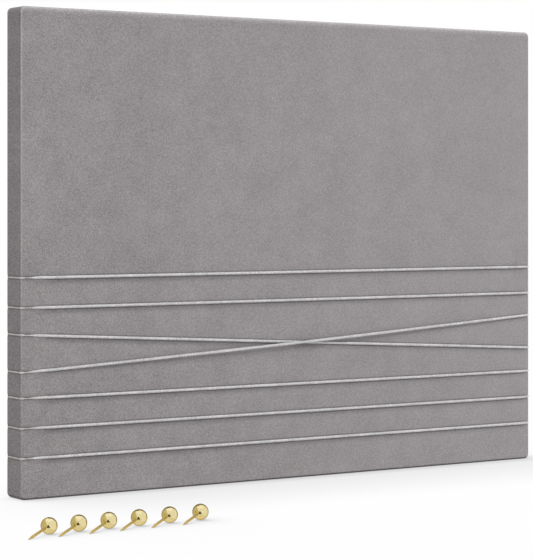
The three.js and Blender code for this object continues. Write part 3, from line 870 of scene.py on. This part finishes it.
def velvet_material(cover):
    """Short velvet pile: brushed clouds, strokes and fine grain, lighter towards the right as a painted
    sheen, a painted highlight on the rims, and painted shade along the cords, on the lower and rear rims
    and in the folds.
    """
    material, tree, shader = new_material(
        "velvet", Roughness=0.95, Sheen_Weight=0.12, Sheen_Roughness=0.45, Specular_IOR_Level=0.1)
    place = parts_of(tree, place_on_piece(tree))
    across = spread(tree, place["X"], -HALF_WIDTH, HALF_WIDTH)
    upward = spread(tree, place["Z"], COVER_LOW.z, COVER_LOW.z + LOW_BAND)
    strokes = uneven(
        tree, 0.9 * MM, detail=1.0, low=0.25, high=0.75, stretch=1.6, turn=math.radians(-45))
    grain = uneven(tree, 0.6 * MM, detail=1.0, low=0.2, high=0.8)
    wide_clouds = uneven(tree, 45 * MM, detail=2.0, low=0.25, high=0.75)
    small_clouds = uneven(tree, 12 * MM, detail=3.0, low=0.25, high=0.75)

    def layered(masks, level):
        """The sum of masks by their weights, round a level."""
        return weighted(tree, masks, level - sum(weight for mask, weight in masks) / 2)

    # Lighter towards the right as a painted sheen, a little lighter up from the bottom, and the strokes
    even = layered(((across, 0.16), (upward, 0.02), (strokes, 0.2)), level=0.49)
    patches = layered(((grain, 1.12), (wide_clouds, 0.2), (small_clouds, 0.24)), level=0.0)
    contrast = weighted(tree, ((across, -0.33),), start=0.78)
    shade = calculated(tree, "MULTIPLY_ADD", patches, contrast, even)
    pile = mixed_colour(tree, shade, cover.velvet_dark, cover.velvet)
    # Painted highlight on the rims, broken up by the strokes
    rub = calculated(tree, "MULTIPLY", attribute(tree, "rub"), calculated(tree, "ADD", strokes, EVEN_HIGHLIGHT))
    painted_rim_light = mixed_colour(tree, rub, pile, cover.painted_rim_light)
    # Painted shade along the cords, on the lower and rear rims and in the hem's folds
    pressed = mixed_colour(tree, attribute(tree, "press"), painted_rim_light, cover.pressed)
    feed(tree, shader.inputs["Base Color"], pressed)
    bumped(tree, shader, calculated(tree, "ADD", strokes, grain), 0.15 * MM, strength=0.6)
    return material


def cut_hem(bm, cover):
    """Opens the back inside the hem and cuts the hem along the folds of its four corners."""
    inner = (HALF_WIDTH - cover.hem, HALF_HEIGHT - cover.hem)
    near_corner = FOLD_REACH * cover.hem

    def rear_faces():
        return [f for f in bm.faces if f.normal.y > FLAT_BACK]

    for side in BOTH_WAYS:
        for axis, reach in zip((ACROSS, UP), inner):
            slice_faces(bm, rear_faces(), BOARD_MIDDLE + side * reach * axis, axis)
    opening = []
    for face in rear_faces():
        place = face.calc_center_median() - BOARD_MIDDLE
        if abs(place.x) < inner[0] and abs(place.z) < inner[1]:
            opening.append(face)
    bmesh.ops.delete(bm, geom=opening, context="FACES")
    for side in BOTH_WAYS:
        for rise in BOTH_WAYS:
            corner = BOARD_MIDDLE + side * HALF_WIDTH * ACROSS + rise * HALF_HEIGHT * UP
            across_fold = (side * ACROSS - rise * UP).normalized()
            for offset in FOLD_OFFSETS:
                near = [f for f in rear_faces() if (f.calc_center_median() - corner).length < near_corner]
                slice_faces(bm, near, corner + offset * MM * across_fold, across_fold)


def cut_rows(bm, lines):
    """Cuts the cover into narrow rows beside each cord, so that the furrows can be pressed in."""
    for line in lines.values():
        slope = Vector((2 * line.bend_x, 0, line.right - line.left))
        down_from_cord = REARWARD.cross(slope).normalized()
        start = Vector((-line.bend_x, 0, line.left))
        for drop in ROW_DROPS:
            front = [f for f in bm.faces if f.normal.y < BACKWARDS]
            slice_faces(bm, front, start + drop * MM * down_from_cord, down_from_cord)
            for side, height in zip(BOTH_WAYS, (line.left, line.right)):
                rear = [f for f in bm.faces if f.normal.y > BACKWARDS]
                beside = [f for f in rear if side * f.calc_center_median().x > 0]
                slice_faces(bm, beside, Vector((0, 0, height - drop * MM)), UP)


def cut_grid(bm):
    """Cuts the cover across, finely near its sides and its top and bottom edges."""
    for inset in SIDE_INSETS:
        for side in BOTH_WAYS:
            slice_faces(bm, bm.faces[:], Vector((side * (HALF_WIDTH - inset * MM), 0, 0)), ACROSS)
    for inset in END_INSETS:
        for height in (COVER_LOW.z + inset * MM, COVER_HIGH.z - inset * MM):
            slice_faces(bm, bm.faces[:], Vector((0, 0, height)), UP)


class BOARD_OT_velvet_cover(bpy.types.Operator):
    """Wraps the board in velvet that is pressed in under the cords and hemmed on the back"""

    bl_idname = "board.velvet_cover"
    bl_label = "Velvet Cover"

    def execute(self, context):
        cover = context.scene.board_cover
        lines, crossing = cord_lines()
        bm = block(COVER_LOW, COVER_HIGH, cover.corner, cover.edge, corner_steps=8, edge_steps=8)
        cut_hem(bm, cover)
        cut_rows(bm, lines)
        cut_grid(bm)
        bm.normal_update()
        rub = bm.verts.layers.float.new("rub")
        press = bm.verts.layers.float.new("press")
        pressed_in = {}
        for vert in bm.verts:
            depth, dark = furrow(vert.co, lines, crossing, cover)
            fold = hem_fold(vert.co, cover)
            # Painted highlight on the rims; painted shade along the cords, on the lower and rear rims and
            # in the hem's folds
            vert[rub] = rim_highlight(vert)
            vert[press] = max(dark, lower_rim_shade(vert), rim_side_shade(vert), FOLD_SHADE * fold)
            pressed_in[vert] = vert.co - max(depth, fold * cover.fold) * vert.normal
        for vert, place in pressed_in.items():
            vert.co = place
        piece = finish_piece(bm, "velvet_wrap", velvet_material(cover), "board", "velvet_cover")
        thicken(piece, "cloth", cover.cloth, -1.0)
        return {"FINISHED"}


def foam_material(cover):
    """Open-cell foam with small pores, whose hollows are darkened with painted shade."""
    material, tree, shader = new_material("open_cell_foam", Roughness=1.0)
    cell = 1.1 * MM
    cells = add_node(tree, "ShaderNodeTexVoronoi", {"Vector": place_on_piece(tree), "Scale": 1 / cell})
    walls = spread(tree, cells.outputs["Distance"], high=0.5)
    feed(tree, shader.inputs["Base Color"], mixed_colour(tree, walls, cover.foam_pore_shade, cover.foam))
    bumped(tree, shader, walls, 0.3 * MM)
    return material


class BOARD_OT_foam_sheet(bpy.types.Operator):
    """Lays the thin foam sheet between the core and the velvet"""

    bl_idname = "board.foam_sheet"
    bl_label = "Foam Sheet"

    def execute(self, context):
        cover = context.scene.board_cover
        low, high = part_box("foam_pad")
        lines, crossing = cord_lines()
        bm = block(low, high, cover.foam_corner, cover.foam_edge, corner_steps=4, edge_steps=3)
        for line in lines.values():
            for offset in FOAM_OFFSETS:
                slice_faces(bm, bm.faces[:], Vector((0, 0, line.left + offset * MM)), UP)
        room = low.y - COVER_LOW.y - cover.cloth
        for vert in bm.verts:
            if vert.co.y < low.y + WELD_DISTANCE:
                depth = furrow(vert.co, lines, crossing, cover)[0]
                vert.co.y += max(0.0, depth - room)
        piece = finish_piece(bm, "foam_sheet", foam_material(cover), "board", "foam_pad")
        return {"FINISHED"}


def pressed_fibre_material(name, colour, darker, grain, streak, depth, roughness):
    """Pressed wood fibre: coarse flecks and fine fibres that lie every way."""
    material, tree, shader = new_material(name, Roughness=roughness, Specular_IOR_Level=0.25)
    flecks = uneven(tree, grain, detail=6.0, low=0.35, high=0.65)
    fibres = add_node(tree, "ShaderNodeTexWave", {
        "Vector": place_on_piece(tree), "Scale": 1 / streak, "Distortion": 14.0, "Detail": 4.0,
        "Detail Scale": 2.0,
    }, wave_type="BANDS", bands_direction="DIAGONAL")
    both = calculated(tree, "MULTIPLY", flecks, fibres.outputs["Fac"])
    clouds = uneven(tree, 55 * MM)
    shade = weighted(tree, ((both, 0.7), (clouds, 0.3)))
    feed(tree, shader.inputs["Base Color"], mixed_colour(tree, shade, darker, colour))
    bumped(tree, shader, both, depth, strength=0.7)
    return material


class BOARD_OT_boards(bpy.types.Operator):
    """Finishes the fibreboard core and the hardboard backing"""

    bl_idname = "board.boards"
    bl_label = "Core and Backing"

    def execute(self, context):
        fittings = context.scene.board_fittings
        core = pressed_fibre_material(
            "soft_fibreboard", fittings.fibreboard, fittings.fibreboard_dark,
            grain=2 * MM, streak=14 * MM, depth=0.3 * MM, roughness=0.95)
        backing = pressed_fibre_material(
            "hardboard", fittings.hardboard, fittings.hardboard_dark,
            grain=0.8 * MM, streak=6 * MM, depth=0.05 * MM, roughness=0.6)
        dress_node("core_board", core)
        dress_node("backing_board", backing)
        return {"FINISHED"}


# Fittings on the back

def steel_material(fittings):
    """Plated steel, made once for all the fittings."""
    return bpy.data.materials.get("plated_steel") or plated(
        "plated_steel", fittings.steel, fittings.steel_dull, smooth=0.22, rough=0.4, grain=3 * MM)


def hanger_axis(side):
    """The middle of the loop in which a hanger's ring turns."""
    low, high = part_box(f"hanger_strap_{side}")
    loop = (high.y - low.y) / 2
    return Vector(((low.x + high.x) / 2, low.y + loop, high.z - loop))


def rear_axis(low, high):
    """Where the axis of a round piece on the back runs, seen from the front."""
    return Vector(((low.x + high.x) / 2, 0, (low.z + high.z) / 2))


class BOARD_OT_staples(bpy.types.Operator):
    """Finishes the staples that hold the cords and the backing"""

    bl_idname = "board.staples"
    bl_label = "Staples"

    def execute(self, context):
        fittings = context.scene.board_fittings
        material = steel_material(fittings)
        for name in sorted(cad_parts):
            if "_staple_" in name:
                staple = dress_node(name, material)
                weld = staple.modifiers.new("weld", "WELD")
                weld.merge_threshold = 0.01 * MM
                round_edges(staple, fittings.staple_edge)
        return {"FINISHED"}


class BOARD_OT_hanger_straps(bpy.types.Operator):
    """Rolls the two straps that hold the rings"""

    bl_idname = "board.hanger_straps"
    bl_label = "Hanger Straps"

    def execute(self, context):
        fittings = context.scene.board_fittings
        material = steel_material(fittings)
        for side in SIDES:
            low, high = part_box(f"hanger_strap_{side}")
            axis = hanger_axis(side)
            middle = low.y + fittings.strap / 2
            foot_radius = STRAP_FOOT * (high.x - low.x) / 2
            bm = bmesh.new()
            outline = ((low.x, low.z), (high.x, low.z), (high.x, axis.z), (low.x, axis.z))
            bm.faces.new([bm.verts.new((x, middle, z)) for x, z in outline])
            foot = [v for v in bm.verts if v.co.z < axis.z - WELD_DISTANCE]
            bmesh.ops.bevel(bm, geom=foot, offset=foot_radius, segments=10, profile=0.5,
                            affect="VERTICES", material=-1)
            top = [e for e in bm.edges if min(v.co.z for v in e.verts) > axis.z - WELD_DISTANCE]
            bmesh.ops.spin(bm, geom=top, cent=axis, axis=-ACROSS, angle=STRAP_ROLL, steps=28)
            bmesh.ops.recalc_face_normals(bm, faces=bm.faces)
            piece = finish_piece(bm, f"strap_{side}", material, "board", f"hanger_strap_{side}")
            thicken(piece, "sheet_metal", fittings.strap, 0.0)
            round_edges(piece, fittings.strap_edge)
        return {"FINISHED"}


class BOARD_OT_hanger_rings(bpy.types.Operator):
    """Bends the two D-shaped rings"""

    bl_idname = "board.hanger_rings"
    bl_label = "Hanger Rings"

    def execute(self, context):
        fittings = context.scene.board_fittings
        material = steel_material(fittings)
        for side in SIDES:
            node = f"hanger_ring_{side}"
            low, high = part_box(node)
            axis = hanger_axis(side)
            radius = (high.x - low.x) / 2 - fittings.ring_wire
            corner = fittings.ring_corner
            centre = radius - corner
            flat = [(fittings.butt_gap / 2, 0.0)]
            flat += arc_profile((centre, -corner), corner, QUARTER_TURN, 0, steps=8)
            flat += arc_profile((0, -corner), radius, 0, -2 * QUARTER_TURN, steps=48)[1:-1]
            flat += arc_profile((-centre, -corner), corner, 2 * QUARTER_TURN, QUARTER_TURN, steps=8)
            flat += [(-fittings.butt_gap / 2, 0.0)]
            route = Route([axis + u * ACROSS + v * UP for u, v in flat])
            bm = rolled_tube(route, fittings.ring_wire, sides=20, step=0.6 * MM, level=REARWARD)
            finish_piece(bm, f"ring_wire_{side}", material, f"ring_{side}", node)
        return {"FINISHED"}


class BOARD_OT_rivets(bpy.types.Operator):
    """Turns the rivets of the hangers"""

    bl_idname = "board.rivets"
    bl_label = "Rivets"

    def execute(self, context):
        fittings = context.scene.board_fittings
        material = steel_material(fittings)
        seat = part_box("hanger_strap_left")[0].y + fittings.strap
        for name in sorted(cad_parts):
            if "_rivet_" not in name:
                continue
            low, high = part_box(name)
            head = (high.x - low.x) / 2
            shank = head / 2
            rim = seat + RIVET_RIM * (high.y - seat)
            dome = [(head * u, rim + (high.y - rim) * v)
                    for u, v in arc_profile((0, 0), 1, 0, QUARTER_TURN, steps=8)[:-1]]
            profile = [(0, low.y), (shank, low.y), (shank, seat), (head, seat), *dome, (0, high.y)]
            bm = turned(profile, rear_axis(low, high), REARWARD)
            finish_piece(bm, name.replace("hanger_", ""), material, "board", name)
        return {"FINISHED"}


def rubber_material(fittings):
    """Soft matt rubber with a dusty bloom."""
    material, tree, shader = new_material("soft_rubber", Specular_IOR_Level=0.3)
    bloom = uneven(tree, 1.6 * MM, detail=5.0)
    colour = mixed_colour(tree, bloom, fittings.rubber, fittings.rubber_bloom)
    feed(tree, shader.inputs["Base Color"], colour)
    feed(tree, shader.inputs["Roughness"], spread(tree, bloom, to_low=0.55, to_high=0.85))
    bumped(tree, shader, bloom, 0.03 * MM)
    return material


class BOARD_OT_wall_bumpers(bpy.types.Operator):
    """Moulds the two rubber bumpers that keep the board off the wall"""

    bl_idname = "board.wall_bumpers"
    bl_label = "Wall Bumpers"

    def execute(self, context):
        fittings = context.scene.board_fittings
        material = rubber_material(fittings)
        for side in SIDES:
            node = f"wall_bumper_{side}"
            low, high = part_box(node)
            radius = (high.x - low.x) / 2
            fillet = fittings.bumper_fillet
            foot = fittings.bumper_foot
            rim = arc_profile((radius - fillet, high.y - fillet), fillet, 0, QUARTER_TURN, steps=6)
            profile = [(0, low.y), (radius - foot, low.y), (radius, low.y + foot), *rim, (0, high.y)]
            bm = turned(profile, rear_axis(low, high), REARWARD, steps=40)
            finish_piece(bm, f"bumper_{side}", material, "board", node)
        return {"FINISHED"}


# Pins

def pin_tip(number, centre):
    """The tip of a needle: the middle of its points that lie furthest from the ball's centre."""
    points = [vert.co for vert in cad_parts[f"pin_{number}_needle"].data.vertices]
    far = max((point - centre).length for point in points)
    ends = [point for point in points if (point - centre).length > far - TIP_DEPTH]
    return sum(ends, Vector()) / len(ends)


class BOARD_OT_pins(bpy.types.Operator):
    """Makes the six loose pins, each a ball head on a needle"""

    bl_idname = "board.pins"
    bl_label = "Pins"

    def execute(self, context):
        pins = context.scene.board_pins
        polished = plated("polished_gold", pins.gold, pins.gold_dull, smooth=0.08, rough=0.14,
                          grain=1.5 * MM, rim=pins.gold_rim)
        drawn = plated("drawn_gold", pins.wire, pins.wire_dull, smooth=0.48, rough=0.56,
                       grain=1.5 * MM, metallic=0.65)
        for number in PIN_NUMBERS:
            pin = f"pin_{number}"
            low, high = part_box(f"{pin}_head")
            centre = (low + high) / 2
            radius = (high.z - low.z) / 2
            way = pin_tip(number, centre) - centre
            reach = way.length
            axis = way.normalized()
            mouth = math.asin(pins.needle / radius)
            ball = arc_profile((0, 0), radius, -QUARTER_TURN, QUARTER_TURN - mouth, steps=32)
            ball[0] = (0, -radius)
            head = turned([*ball, (0, ball[-1][1])], centre, axis, steps=64)
            finish_piece(head, f"ball_{number}", polished, pin, f"{pin}_head")
            root = radius - pins.needle
            profile = [(0, root), (pins.needle, root), (pins.needle, reach - pins.point),
                       (pins.tip, reach), (0, reach)]
            shaft = turned(profile, centre, axis, steps=24)
            needle = finish_piece(shaft, f"needle_{number}", drawn, pin, f"{pin}_needle")
            needle.visible_glossy = False
        return {"FINISHED"}


# Studio

def floor_material(studio):
    """White floor: the camera sees white with soft shadows under things, and light sees matt paint."""
    material, tree, shader = new_material("white_floor", Roughness=0.9, Specular_IOR_Level=0.0)
    clouds = uneven(tree, 400 * MM, detail=1.0)
    feed(tree, shader.inputs["Base Color"], mixed_colour(tree, clouds, studio.paint, studio.paint_light))

    def hidden(sky, reach):
        """How much of the sky is hidden by things within reach."""
        open_sky = add_node(tree, "ShaderNodeAmbientOcclusion", {
            "Distance": reach, "Normal": vector(tree, *sky)})
        return calculated(tree, "SUBTRACT", 1.0, open_sky.outputs["AO"])

    shadow = weighted(tree, (
        (hidden(WIDE_SHADOW_SKY, studio.shadow_reach), studio.shadow),
        (hidden(CLOSE_SHADOW_SKY, studio.contact_reach), studio.contact),
    ))
    white = mixed_colour(tree, shadow, studio.floor, BLACK)
    glow = add_node(tree, "ShaderNodeEmission", {"Color": white, "Strength": 1.0})
    seen = add_node(tree, "ShaderNodeLightPath").outputs["Is Camera Ray"]
    output = next(node for node in tree.nodes if node.type == "OUTPUT_MATERIAL")
    feed(tree, output.inputs["Surface"],
         mixed_shader(tree, seen, shader.outputs["BSDF"], glow.outputs["Emission"]))
    return material


def towards(heading, elevation):
    """A direction by its heading, from the front to the right, and its elevation, both in degrees."""
    across, rise = math.radians(heading), math.radians(elevation)
    return Vector((math.sin(across) * math.cos(rise), -math.cos(across) * math.cos(rise), math.sin(rise)))


def mirrored_panels(tree, studio):
    """Colour of the studio in reflections: three panels that meet at a small dark gap beside the camera.
    The upper one is brighter overhead, and a shade lies behind the object."""
    camera = towards(-math.degrees(studio.camera_heading), 0)
    right = UP.cross(camera)
    direction = add_node(tree, "ShaderNodeTexCoord").outputs["Generated"]

    def from_object(across, rise, ahead):
        return (across * right + rise * UP + ahead * camera).normalized()

    def clock(hour):
        angle = FULL_TURN * hour / 12
        return from_object(math.sin(angle), math.cos(angle), 0.0)

    def facing(aim, low, high):
        """Mask of the directions near an aim: none where the cosine is low, full where it is high."""
        dot = add_node(tree, "ShaderNodeVectorMath", operation="DOT_PRODUCT")
        feed(tree, dot.inputs[0], direction)
        feed(tree, dot.inputs[1], aim)
        return spread(tree, dot.outputs["Value"], low, high, kind="SMOOTHSTEP")

    gap = from_object(*GAP_PLACE)

    def beyond(hour):
        """Mask of the side that follows the border from the gap towards an hour of the clock."""
        return facing(clock(hour).cross(gap).normalized(), -BORDER_BLUR, BORDER_BLUR)

    def between(start, end):
        """Mask of the panel from one hour of the clock to a later one."""
        return calculated(tree, "MULTIPLY", beyond(start), calculated(tree, "SUBTRACT", 1.0, beyond(end)))

    in_gap = 1.0
    for hour in GAP_SIDE_HOURS:
        beside = clock(hour) - clock(hour).dot(gap) * gap
        within = facing(GAP_REACH * gap - beside, -GAP_BLUR, GAP_BLUR)
        in_gap = calculated(tree, "MULTIPLY", in_gap, within)
    colour = studio.top_panel
    for mask, panel in (
            (facing(UP, *OVERHEAD), studio.overhead_panel),
            (between(*LOW_PANEL_HOURS), studio.low_panel),
            (between(*LEFT_PANEL_HOURS), studio.left_panel),
            (facing(-camera, *BEHIND), studio.backdrop_shade),
            (in_gap, studio.lens_gap)):
        colour = mixed_colour(tree, mask, colour, panel)
    return colour


def studio_world(studio):
    """White background for the camera, panels for reflections, and a softer light from all round."""
    world = bpy.data.worlds.new("white_studio")
    world.use_nodes = True
    tree = world.node_tree
    tree.nodes.clear()

    def background(colour, strength):
        node = add_node(tree, "ShaderNodeBackground", {"Color": colour, "Strength": strength})
        return node.outputs["Background"]

    path = add_node(tree, "ShaderNodeLightPath").outputs
    seen = calculated(tree, "MAXIMUM", path["Is Camera Ray"], path["Is Transmission Ray"])
    panels = background(mirrored_panels(tree, studio), studio.panel_light)
    light = mixed_shader(tree, path["Is Glossy Ray"], background(WHITE, studio.dome), panels)
    light = mixed_shader(tree, seen, light, background(WHITE, 1.0))
    add_node(tree, "ShaderNodeOutputWorld", {"Surface": light})
    return world


def soft_light(name, heading, elevation, level, breadth):
    """A broad soft light from a direction, which lights a surface that faces it at the given level.
    Reflections leave it out, because the studio's panels stand for it there."""
    light = bpy.data.lights.new(name, "SUN")
    light.energy = level * math.pi
    light.angle = math.radians(breadth)
    lamp = linked(name, light)
    lamp.rotation_euler = towards(heading, elevation).to_track_quat("Z", "Y").to_euler()
    lamp.visible_glossy = False


class BOARD_OT_studio(bpy.types.Operator):
    """Sets up the white floor, the soft lights and the camera"""

    bl_idname = "board.studio"
    bl_label = "Studio"

    def execute(self, context):
        scene = context.scene
        studio = scene.board_studio
        scene.view_settings.view_transform = "Standard"
        scene.world = studio_world(studio)

        bm = bmesh.new()
        bmesh.ops.create_grid(bm, x_segments=1, y_segments=1, size=FLOOR_REACH)
        floor = mesh_object(bm, "studio_floor", floor_material(studio))
        floor.visible_glossy = False

        soft_light("front_softbox", heading=-3, elevation=54, level=studio.front_light, breadth=42)
        soft_light("top_softbox", heading=170, elevation=68, level=studio.top_light, breadth=70)

        lens = bpy.data.cameras.new("photo_camera")
        lens.lens = studio.lens
        lens.sensor_width = SENSOR_WIDTH
        lens.shift_y = studio.fall
        camera = linked("photo_camera", lens)
        camera.location = studio.camera_place
        camera.rotation_euler = (QUARTER_TURN, 0, -studio.camera_heading)
        scene.camera = camera
        return {"FINISHED"}


class BOARD_PT_sidebar(bpy.types.Panel):
    """Pin board in the sidebar of the 3D view"""

    bl_label = "Pin Board"
    bl_idname = "BOARD_PT_sidebar"
    bl_space_type = "VIEW_3D"
    bl_region_type = "UI"
    bl_category = "Pin Board"

    def draw(self, context):
        for name, group in SETTINGS.items():
            box = self.layout.box()
            box.label(text=group.__doc__)
            for setting in group.__annotations__:
                box.prop(getattr(context.scene, name), setting)
        for operator in OPERATORS:
            self.layout.operator(operator.bl_idname)


OPERATORS = (
    BOARD_OT_elastic_cords,
    BOARD_OT_velvet_cover,
    BOARD_OT_foam_sheet,
    BOARD_OT_boards,
    BOARD_OT_staples,
    BOARD_OT_hanger_straps,
    BOARD_OT_hanger_rings,
    BOARD_OT_rivets,
    BOARD_OT_wall_bumpers,
    BOARD_OT_pins,
    BOARD_OT_studio,
)


def register():
    for group in SETTINGS.values():
        bpy.utils.register_class(group)
    for name, group in SETTINGS.items():
        setattr(bpy.types.Scene, name, PointerProperty(type=group))
    for operator in OPERATORS:
        bpy.utils.register_class(operator)
    bpy.utils.register_class(BOARD_PT_sidebar)


def unregister():
    bpy.utils.unregister_class(BOARD_PT_sidebar)
    for operator in reversed(OPERATORS):
        bpy.utils.unregister_class(operator)
    for name in SETTINGS:
        delattr(bpy.types.Scene, name)
    for group in reversed(SETTINGS.values()):
        bpy.utils.unregister_class(group)


def main():
    register()
    bpy.ops.board.elastic_cords()
    bpy.ops.board.velvet_cover()
    bpy.ops.board.foam_sheet()
    bpy.ops.board.boards()
    bpy.ops.board.staples()
    bpy.ops.board.hanger_straps()
    bpy.ops.board.hanger_rings()
    bpy.ops.board.rivets()
    bpy.ops.board.wall_bumpers()
    bpy.ops.board.pins()
    bpy.ops.board.studio()


if __name__ == "__main__":
    main()
